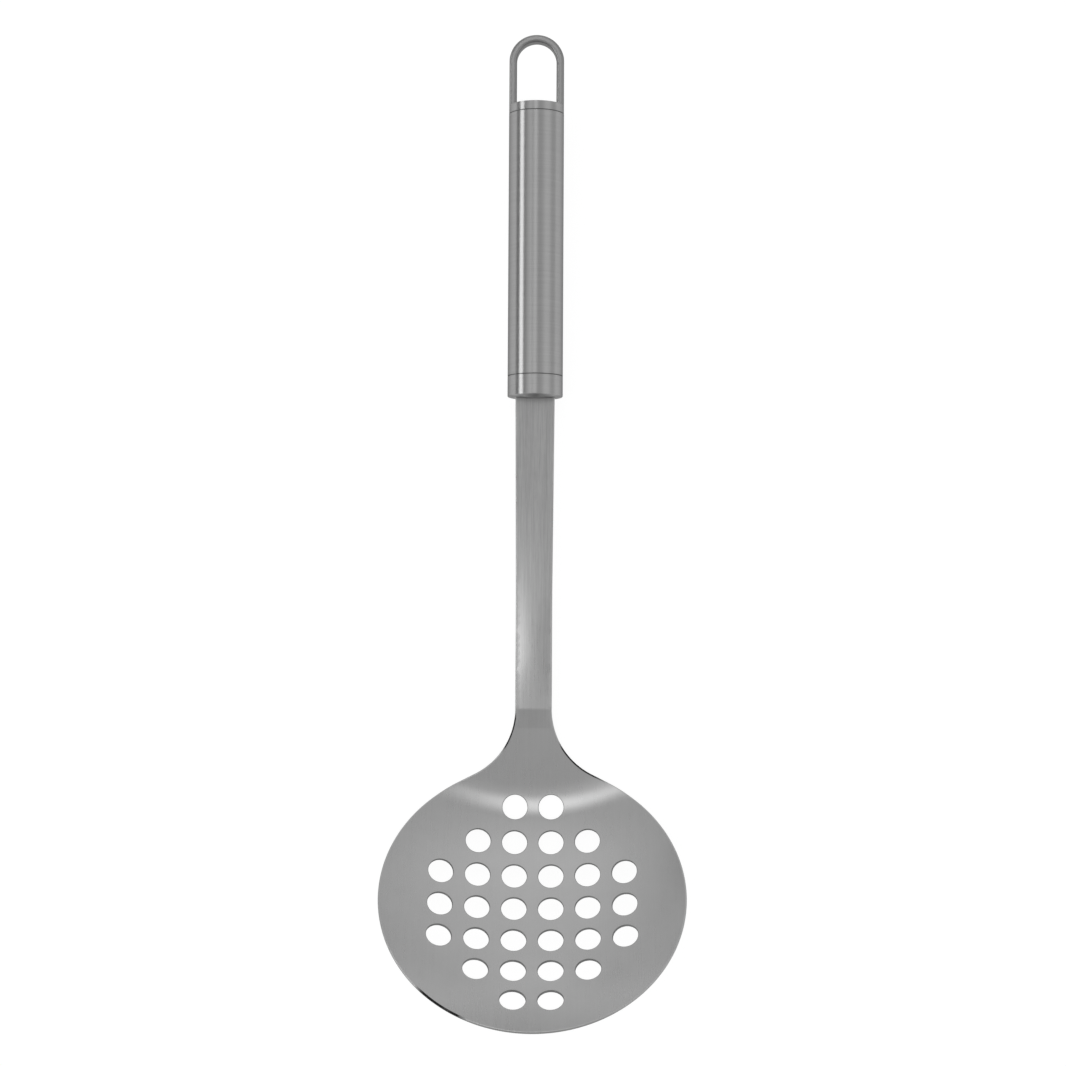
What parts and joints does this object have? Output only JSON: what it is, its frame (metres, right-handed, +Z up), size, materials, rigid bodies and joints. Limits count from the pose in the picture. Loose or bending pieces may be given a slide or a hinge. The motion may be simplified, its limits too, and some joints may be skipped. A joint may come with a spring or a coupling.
{
  "type": "skimmer",
  "caption": "Stainless steel kitchen skimmer: round perforated bowl, pressed in one with a flat stem, on a hollow round handle with a hanging loop.",
  "frame": {"origin": "bottom centre of the bounding box: on the table, on the middle plane, halfway along the lying tool", "axes": "+Y along the tool towards the hanging loop, +Z up out of the bowl's hollow, +X to the right seen from above with the loop away from the viewer"},
  "size_m": [0.1074, 0.356, 0.0557],
  "materials": {
    "blade_steel": "satin, fine grain along the stem",
    "handle_steel": "satin, fine grain around the handle",
    "loop_steel": "smooth satin"
  },
  "bodies": {
    "root": {"blade": "blade_steel", "front_cap": "handle_steel", "handle_tube": "handle_steel", "rear_cap": "handle_steel", "hanging_loop": "loop_steel"}
  },
  "joints": []
}
